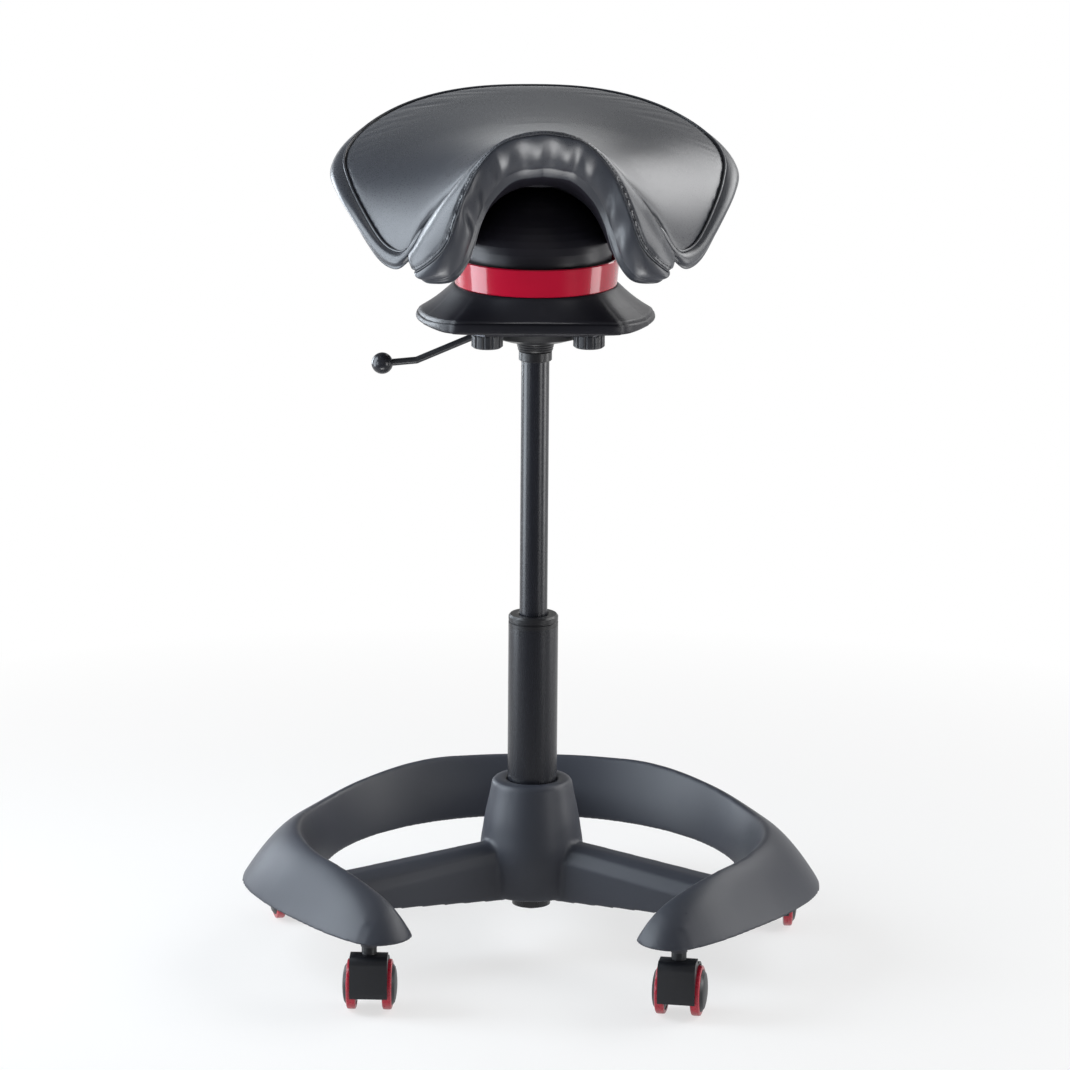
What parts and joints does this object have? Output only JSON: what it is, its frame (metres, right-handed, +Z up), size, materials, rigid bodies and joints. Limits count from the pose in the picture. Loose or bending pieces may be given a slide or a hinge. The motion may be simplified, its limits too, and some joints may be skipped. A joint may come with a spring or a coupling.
{
  "type": "ergonomic saddle stool",
  "caption": "Height-adjustable saddle stool: draped saddle seat that rocks on a column, red band, lever, and an open ring base on twin-wheel casters.",
  "frame": {"origin": "on the floor, under the axis of the column", "axes": "+Z up, -Y the way the sitter faces, +X to the sitter's left as seen from the front on the right"},
  "size_m": [0.588, 0.5321, 0.8684],
  "materials": {
    "frame_plastic": "fine-textured moulded nylon, dark slate",
    "black_tube": "satin black",
    "bush_plastic": "satin",
    "bare_steel": "turned steel",
    "dark_steel": "black zinc",
    "cover_plastic": "satin moulded",
    "dome_plastic": "satin moulded",
    "caster_plastic": "satin moulded",
    "red_gloss": "high gloss",
    "red_tread": "glossy polyurethane",
    "leather": "smooth semi-gloss, near black",
    "lining_leather": "smooth, gathered",
    "shell_plastic": "moulded",
    "stop_rubber": "matt",
    "lever_black": "satin black",
    "ball_plastic": "satin-gloss",
    "knob_plastic": "satin"
  },
  "bodies": {
    "base": {"base_frame": "frame_plastic", "stand_tube": "black_tube", "guide_bush": "bush_plastic", "caster_stems": "dark_steel"},
    "gas_rod": {"piston_rod": "bare_steel", "retaining_clip": "bare_steel", "thrust_bearing": "bare_steel"},
    "lift": {"pressure_tube": "black_tube", "tube_collar": "bush_plastic", "column_socket": "bush_plastic", "mechanism_plate": "dark_steel", "mechanism_cover": "cover_plastic", "cover_screws": "dark_steel", "red_band": "red_gloss", "lower_yoke": "dark_steel", "rubber_stops": "stop_rubber"},
    "release": {"release_pin": "bare_steel"},
    "lever": {"lever_rod": "lever_black", "lever_ball": "ball_plastic"},
    "knob_left": {"knob_left": "knob_plastic"},
    "knob_right": {"knob_right": "knob_plastic"},
    "rocker": {"rocker_cross": "bare_steel"},
    "seat": {"upper_yoke": "dark_steel", "under_dome": "dome_plastic", "seat_shell": "shell_plastic", "seat_screws": "dark_steel", "seat_cushion": "leather", "thigh_pads": "leather", "arch_lining": "lining_leather", "side_band": "leather"},
    "caster_front_right": {"caster_front_right_hood": "caster_plastic", "caster_front_right_axle": "bare_steel"},
    "caster_front_right_left": {"caster_front_right_wheel_left": "caster_plastic", "caster_front_right_tread_left": "red_tread"},
    "caster_front_right_right": {"caster_front_right_wheel_right": "caster_plastic", "caster_front_right_tread_right": "red_tread"},
    "caster_side_right": {"caster_side_right_hood": "caster_plastic", "caster_side_right_axle": "bare_steel"},
    "caster_side_right_left": {"caster_side_right_wheel_left": "caster_plastic", "caster_side_right_tread_left": "red_tread"},
    "caster_side_right_right": {"caster_side_right_wheel_right": "caster_plastic", "caster_side_right_tread_right": "red_tread"},
    "caster_back": {"caster_back_hood": "caster_plastic", "caster_back_axle": "bare_steel"},
    "caster_back_left": {"caster_back_wheel_left": "caster_plastic", "caster_back_tread_left": "red_tread"},
    "caster_back_right": {"caster_back_wheel_right": "caster_plastic", "caster_back_tread_right": "red_tread"},
    "caster_side_left": {"caster_side_left_hood": "caster_plastic", "caster_side_left_axle": "bare_steel"},
    "caster_side_left_left": {"caster_side_left_wheel_left": "caster_plastic", "caster_side_left_tread_left": "red_tread"},
    "caster_side_left_right": {"caster_side_left_wheel_right": "caster_plastic", "caster_side_left_tread_right": "red_tread"},
    "caster_front_left": {"caster_front_left_hood": "caster_plastic", "caster_front_left_axle": "bare_steel"},
    "caster_front_left_left": {"caster_front_left_wheel_left": "caster_plastic", "caster_front_left_tread_left": "red_tread"},
    "caster_front_left_right": {"caster_front_left_wheel_right": "caster_plastic", "caster_front_left_tread_right": "red_tread"}
  },
  "joints": [
    {"name": "seat_swivel", "type": "hinge", "parent": "base", "child": "gas_rod", "pos_m": [0, 0, 0.06], "axis": [0, 0, 1], "continuous": true},
    {"name": "seat_height", "type": "slide", "parent": "gas_rod", "child": "lift", "axis": [0, 0, 1], "range_m": [-0.2, 0]},
    {"name": "height_lever", "type": "hinge", "parent": "lift", "child": "lever", "pos_m": [-0.04187, -0.0033, 0.64425], "axis": [-0.0785, 0.9969, 0], "range_deg": [0, 4], "stiffness_Nm_per_rad": 3},
    {"name": "release_press", "type": "slide", "parent": "lift", "child": "release", "axis": [0, 0, -1], "range_m": [0, 0.003], "stiffness_N_per_m": 600},
    {"name": "left_knob_turn", "type": "hinge", "parent": "lift", "child": "knob_left", "pos_m": [-0.04553, -0.05875, 0.64], "axis": [0, 0, 1], "range_deg": [-360, 360]},
    {"name": "right_knob_turn", "type": "hinge", "parent": "lift", "child": "knob_right", "pos_m": [0.05416, -0.05091, 0.64], "axis": [0, 0, 1], "range_deg": [-360, 360]},
    {"name": "rock_fore_aft", "type": "hinge", "parent": "lift", "child": "rocker", "pos_m": [0, 0, 0.72], "axis": [0.9969, 0.0785, 0], "range_deg": [-8, 8], "stiffness_Nm_per_rad": 150},
    {"name": "rock_sideways", "type": "hinge", "parent": "rocker", "child": "seat", "pos_m": [0, 0, 0.72], "axis": [-0.0785, 0.9969, 0], "range_deg": [-6, 6], "stiffness_Nm_per_rad": 150},
    {"name": "caster_front_right_swivel", "type": "hinge", "parent": "base", "child": "caster_front_right", "pos_m": [0.15165, -0.20873, 0.06], "axis": [0, 0, 1], "continuous": true},
    {"name": "caster_front_right_left_spin", "type": "hinge", "parent": "caster_front_right", "child": "caster_front_right_left", "pos_m": [0.15304, -0.19882, 0.025], "axis": [0.9903, -0.1392, 0], "continuous": true},
    {"name": "caster_front_right_right_spin", "type": "hinge", "parent": "caster_front_right", "child": "caster_front_right_right", "pos_m": [0.15304, -0.19882, 0.025], "axis": [0.9903, -0.1392, 0], "continuous": true},
    {"name": "caster_side_right_swivel", "type": "hinge", "parent": "base", "child": "caster_side_right", "pos_m": [0.24537, 0.07973, 0.06], "axis": [0, 0, 1], "continuous": true},
    {"name": "caster_side_right_left_spin", "type": "hinge", "parent": "caster_side_right", "child": "caster_side_right_left", "pos_m": [0.24537, 0.08973, 0.025], "axis": [1, 0, 0], "continuous": true},
    {"name": "caster_side_right_right_spin", "type": "hinge", "parent": "caster_side_right", "child": "caster_side_right_right", "pos_m": [0.24537, 0.08973, 0.025], "axis": [1, 0, 0], "continuous": true},
    {"name": "caster_back_swivel", "type": "hinge", "parent": "base", "child": "caster_back", "pos_m": [0, 0.258, 0.06], "axis": [0, 0, 1], "continuous": true},
    {"name": "caster_back_left_spin", "type": "hinge", "parent": "caster_back", "child": "caster_back_left", "pos_m": [0, 0.268, 0.025], "axis": [1, 0, 0], "continuous": true},
    {"name": "caster_back_right_spin", "type": "hinge", "parent": "caster_back", "child": "caster_back_right", "pos_m": [0, 0.268, 0.025], "axis": [1, 0, 0], "continuous": true},
    {"name": "caster_side_left_swivel", "type": "hinge", "parent": "base", "child": "caster_side_left", "pos_m": [-0.24537, 0.07973, 0.06], "axis": [0, 0, 1], "continuous": true},
    {"name": "caster_side_left_left_spin", "type": "hinge", "parent": "caster_side_left", "child": "caster_side_left_left", "pos_m": [-0.24779, 0.08943, 0.025], "axis": [0.9703, 0.2419, 0], "continuous": true},
    {"name": "caster_side_left_right_spin", "type": "hinge", "parent": "caster_side_left", "child": "caster_side_left_right", "pos_m": [-0.24779, 0.08943, 0.025], "axis": [0.9703, 0.2419, 0], "continuous": true},
    {"name": "caster_front_left_swivel", "type": "hinge", "parent": "base", "child": "caster_front_left", "pos_m": [-0.15165, -0.20873, 0.06], "axis": [0, 0, 1], "continuous": true},
    {"name": "caster_front_left_left_spin", "type": "hinge", "parent": "caster_front_left", "child": "caster_front_left_left", "pos_m": [-0.15165, -0.19873, 0.025], "axis": [1, 0, 0], "continuous": true},
    {"name": "caster_front_left_right_spin", "type": "hinge", "parent": "caster_front_left", "child": "caster_front_left_right", "pos_m": [-0.15165, -0.19873, 0.025], "axis": [1, 0, 0], "continuous": true}
  ],
  "couplings": [
    {"joint": "release_press", "follows": "height_lever", "m_per_rad": 0.042}
  ]
}
